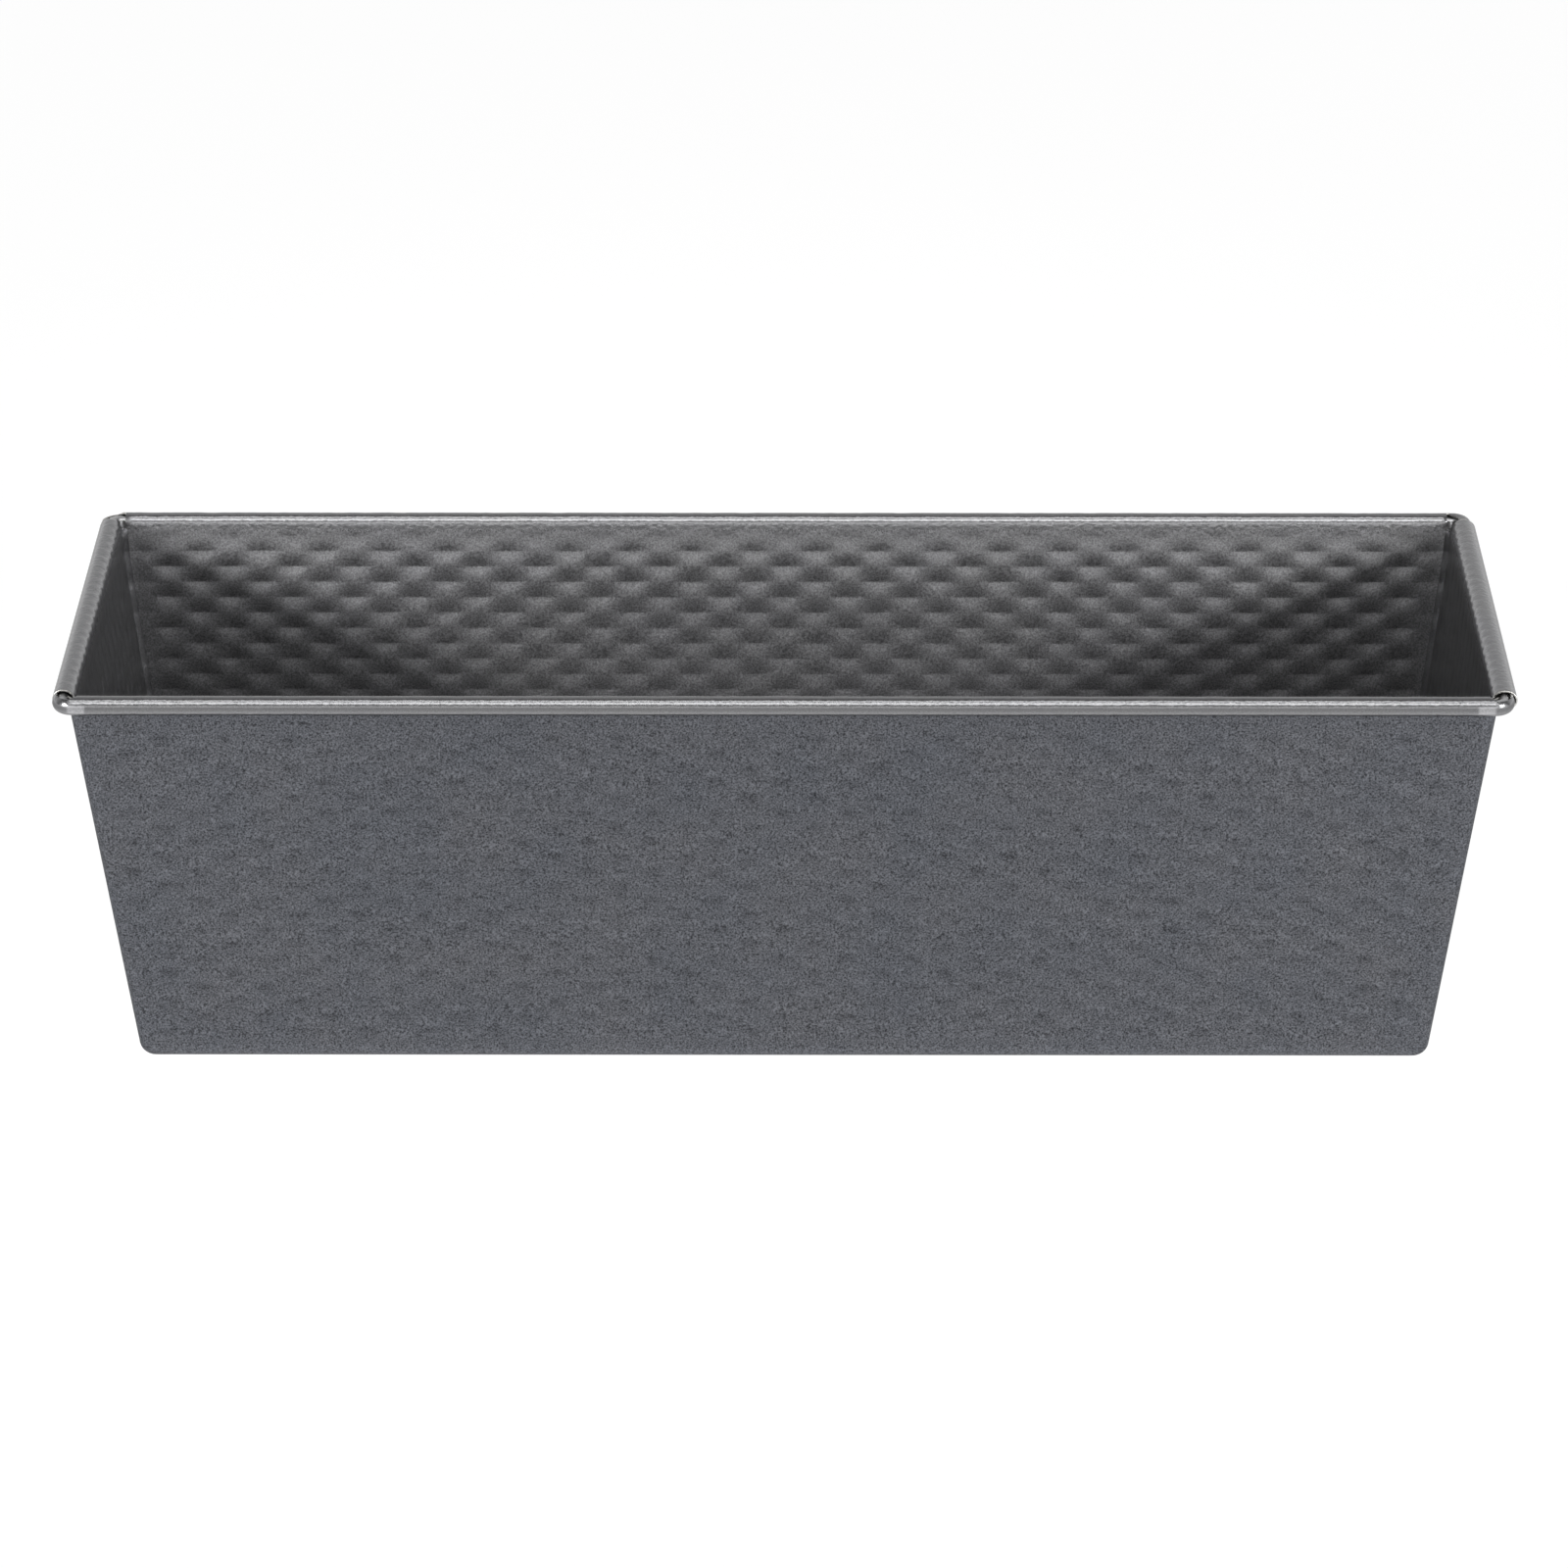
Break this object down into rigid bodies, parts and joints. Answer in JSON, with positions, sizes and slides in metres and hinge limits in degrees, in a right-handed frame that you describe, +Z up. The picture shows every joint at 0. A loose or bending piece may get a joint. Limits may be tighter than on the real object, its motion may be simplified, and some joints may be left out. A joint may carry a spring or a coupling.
{
  "type": "bread loaf pan",
  "caption": "Long tapered loaf pan of thin embossed coated steel sheet, with folded corners and rolled wire-stiffened rims, for baking bread and cakes.",
  "frame": {"origin": "under the middle of the base, on the plane the pan stands on", "axes": "+X along the pan to its right end, +Y across it from the front wall to the back wall, +Z up"},
  "size_m": [0.3068, 0.1246, 0.0875],
  "materials": {
    "trough_sheet": "embossed steel sheet under a satin dark grey non-stick coat with fine bright flecks",
    "end_sheet": "embossed steel sheet under a satin dark grey non-stick coat with fine bright flecks",
    "rim_wire": "bare drawn steel wire"
  },
  "bodies": {
    "root": {"trough": "trough_sheet", "left_end": "end_sheet", "right_end": "end_sheet", "rim_wire": "rim_wire"}
  },
  "joints": []
}
